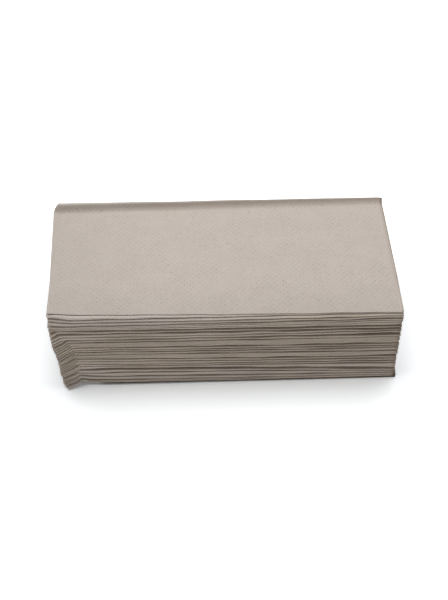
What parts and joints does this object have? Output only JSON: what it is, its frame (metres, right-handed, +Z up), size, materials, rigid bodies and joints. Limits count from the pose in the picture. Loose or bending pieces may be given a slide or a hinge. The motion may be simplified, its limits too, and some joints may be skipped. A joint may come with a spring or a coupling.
{
  "type": "interfolded paper hand towel bundle",
  "caption": "Bundle of interfolded embossed paper hand towels, each folded once, front and back in turn, so that each one pulled brings the edge of the next. One corner is crushed.",
  "frame": {"origin": "middle of the footprint, on the surface that the bundle stands on", "axes": "+X along the folds, -Y to the front, where the crushed corner is at -X, +Z up"},
  "size_m": [0.25, 0.1204, 0.0724],
  "materials": {
    "crepe_paper": "matt embossed crepe, unbleached grey"
  },
  "bodies": {
    "root": {"towel_01": "crepe_paper", "towel_02": "crepe_paper", "towel_03": "crepe_paper", "towel_04": "crepe_paper", "towel_05": "crepe_paper", "towel_06": "crepe_paper", "towel_07": "crepe_paper", "towel_08": "crepe_paper", "towel_09": "crepe_paper", "towel_10": "crepe_paper", "towel_11": "crepe_paper", "towel_12": "crepe_paper", "towel_13": "crepe_paper", "towel_14": "crepe_paper", "towel_15": "crepe_paper", "towel_16": "crepe_paper", "towel_17": "crepe_paper", "towel_18": "crepe_paper", "towel_19": "crepe_paper", "towel_20": "crepe_paper", "towel_21": "crepe_paper", "towel_22": "crepe_paper", "towel_23": "crepe_paper", "towel_24": "crepe_paper", "towel_25": "crepe_paper", "towel_26": "crepe_paper", "towel_27": "crepe_paper", "towel_28": "crepe_paper", "towel_29": "crepe_paper", "towel_30": "crepe_paper", "towel_31": "crepe_paper", "towel_32": "crepe_paper", "towel_33": "crepe_paper", "towel_34": "crepe_paper", "towel_35": "crepe_paper", "towel_36": "crepe_paper", "towel_37": "crepe_paper", "towel_38": "crepe_paper", "towel_39": "crepe_paper", "towel_40": "crepe_paper", "towel_41": "crepe_paper", "towel_42": "crepe_paper", "towel_43": "crepe_paper", "towel_44": "crepe_paper", "towel_45": "crepe_paper", "towel_46": "crepe_paper", "towel_47": "crepe_paper", "towel_48": "crepe_paper", "towel_49": "crepe_paper", "towel_50": "crepe_paper", "towel_51": "crepe_paper", "towel_52": "crepe_paper", "towel_53": "crepe_paper", "towel_54": "crepe_paper", "towel_55": "crepe_paper", "towel_56": "crepe_paper"}
  },
  "joints": []
}
